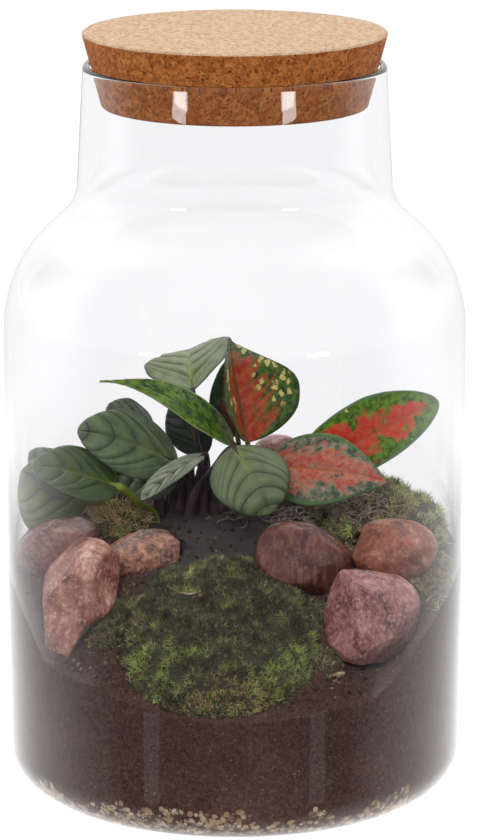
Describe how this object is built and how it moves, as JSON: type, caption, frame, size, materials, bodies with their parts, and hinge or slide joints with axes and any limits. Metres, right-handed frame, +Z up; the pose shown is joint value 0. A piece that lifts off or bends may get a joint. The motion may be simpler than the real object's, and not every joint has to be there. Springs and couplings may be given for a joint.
{
  "type": "glass plant terrarium",
  "caption": "Closed glass jar with a tapered cork lid, planted with a red-leaved aglaonema and a ctenanthe in banked soil, with moss cushions and tumbled stones over grit.",
  "frame": {"origin": "centre of the jar's foot, on the plane it stands on", "axes": "+Z up along the jar's axis, the planting's front faces -Y, +X to the right as seen from the front"},
  "size_m": [0.1818, 0.1818, 0.3],
  "materials": {
    "clear_glass": "clear blown glass, fire-polished rim",
    "pressed_cork": "matte agglomerated cork, pale sanded top",
    "grit": "matte beige gravel",
    "potting_soil": "matte dark brown compost with pale specks",
    "moss": "matte green moss fronds, yellow-brown at the edges",
    "tumbled_stone": "satin tumbled stone, pink and brick red with pale veins",
    "cane": "satin green stem",
    "aglaonema_leaf": "satin green leaf with red and cream blotches",
    "ctenanthe_leaf": "satin grey-green leaf with dark herringbone veins"
  },
  "bodies": {
    "root": {"jar_glass": "clear_glass", "cork_lid": "pressed_cork", "drainage_grit": "grit", "potting_soil": "potting_soil", "moss_front": "moss", "moss_right": "moss", "moss_left": "moss", "stone_left_back": "tumbled_stone", "stone_left_front": "tumbled_stone", "stone_left_mid": "tumbled_stone", "stone_right_mid": "tumbled_stone", "stone_right_back": "tumbled_stone", "stone_right_front": "tumbled_stone", "stone_centre_back": "tumbled_stone", "aglaonema_cane": "cane", "aglaonema_leaf_1": "aglaonema_leaf", "aglaonema_leaf_2": "aglaonema_leaf", "aglaonema_leaf_3": "aglaonema_leaf", "aglaonema_leaf_4": "aglaonema_leaf", "aglaonema_leaf_5": "aglaonema_leaf", "ctenanthe_leaf_1": "ctenanthe_leaf", "ctenanthe_leaf_2": "ctenanthe_leaf", "ctenanthe_leaf_3": "ctenanthe_leaf", "ctenanthe_leaf_4": "ctenanthe_leaf", "ctenanthe_leaf_5": "ctenanthe_leaf", "ctenanthe_leaf_6": "ctenanthe_leaf", "ctenanthe_leaf_7": "ctenanthe_leaf", "ctenanthe_leaf_8": "ctenanthe_leaf", "ctenanthe_leaf_9": "ctenanthe_leaf", "ctenanthe_leaf_10": "ctenanthe_leaf"}
  },
  "joints": []
}
